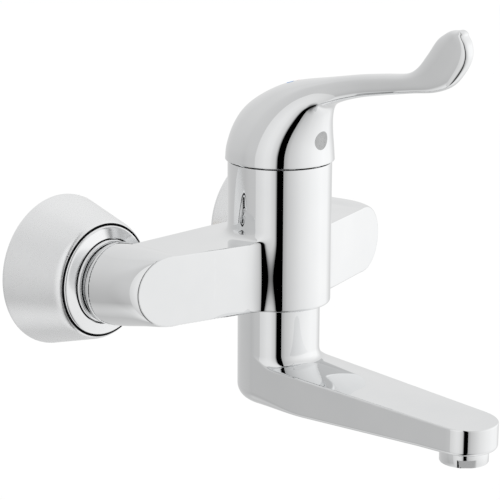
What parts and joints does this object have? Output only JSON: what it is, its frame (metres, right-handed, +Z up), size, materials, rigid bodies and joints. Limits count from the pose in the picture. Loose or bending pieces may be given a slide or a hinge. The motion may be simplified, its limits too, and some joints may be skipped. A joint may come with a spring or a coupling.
{
  "type": "elbow lever basin mixer",
  "caption": "Wall-mounted single-lever basin mixer with a long elbow lever, swivel spout, round column body with swept arms, conical wall rosettes and eccentric unions.",
  "frame": {"origin": "on the finished wall, midway between the axes of the two wall threads", "axes": "+Z up, +Y into the wall, +X to the right seen from the front; the lever and spout point to -Y"},
  "size_m": [0.2274, 0.2371, 0.2062],
  "materials": {
    "chrome_body": "polished chrome on cast brass",
    "chrome_lever": "polished chrome on a zinc casting",
    "chrome_spout": "polished chrome on cast brass",
    "chrome_sheet": "polished chrome on pressed brass",
    "chrome_nut": "chrome on turned brass",
    "chrome_aerator": "chrome on turned brass",
    "brass": "turned, uncoated",
    "steel": "turned stainless",
    "rubber": "moulded",
    "white_plastic": "moulded",
    "grey_plastic": "moulded",
    "plug_grey": "satin moulded",
    "ceramic": "lapped",
    "mark_blue": "gloss",
    "mark_red": "gloss"
  },
  "bodies": {
    "mixer": {"s_union_left": "brass", "s_union_right": "brass", "union_nut_left": "chrome_nut", "union_nut_right": "chrome_nut", "inlet_tail_left": "brass", "inlet_tail_right": "brass", "inlet_washers": "rubber", "inlet_strainers": "steel", "mixer_body": "chrome_body", "port_seals": "rubber", "cartridge_base": "white_plastic", "fixed_disc": "ceramic", "cartridge_housing": "white_plastic", "limiter_ring": "grey_plastic", "retaining_nut": "brass", "spout_glide_ring": "white_plastic", "spout_retaining_screw": "steel"},
    "swivel": {"stem_carrier": "grey_plastic", "stem_pin": "steel"},
    "lever": {"lever": "chrome_lever", "lever_stem": "steel", "lever_set_screw": "steel", "screw_plug": "plug_grey", "cold_mark": "mark_blue", "hot_mark": "mark_red"},
    "disc": {"moving_disc": "ceramic", "disc_carrier": "white_plastic"},
    "spout": {"spout": "chrome_spout", "spout_o_rings": "rubber", "aerator_housing": "chrome_aerator", "aerator_insert": "grey_plastic", "aerator_washer": "rubber"},
    "rosette_left": {"rosette_left": "chrome_sheet", "rosette_insert_left": "chrome_sheet"},
    "rosette_right": {"rosette_right": "chrome_sheet", "rosette_insert_right": "chrome_sheet"}
  },
  "joints": [
    {"name": "lever_swivel", "type": "hinge", "parent": "mixer", "child": "swivel", "pos_m": [0, -0.083, 0.06], "axis": [0, 0, 1], "range_deg": [-50, 50]},
    {"name": "lever_lift", "type": "hinge", "parent": "swivel", "child": "lever", "pos_m": [0, -0.083, 0.06], "axis": [-1, 0, 0], "range_deg": [0, 25]},
    {"name": "disc_slide", "type": "slide", "parent": "swivel", "child": "disc", "axis": [0, 1, 0], "range_m": [-0.0056, 0]},
    {"name": "spout_swivel", "type": "hinge", "parent": "mixer", "child": "spout", "pos_m": [0, -0.083, 0], "axis": [0, 0, 1], "range_deg": [-75, 75]},
    {"name": "rosette_left_slide", "type": "slide", "parent": "mixer", "child": "rosette_left", "axis": [0, -1, 0], "range_m": [0, 0.003]},
    {"name": "rosette_right_slide", "type": "slide", "parent": "mixer", "child": "rosette_right", "axis": [0, -1, 0], "range_m": [0, 0.003]}
  ],
  "couplings": [
    {"joint": "disc_slide", "follows": "lever_lift", "m_per_rad": -0.01259}
  ]
}
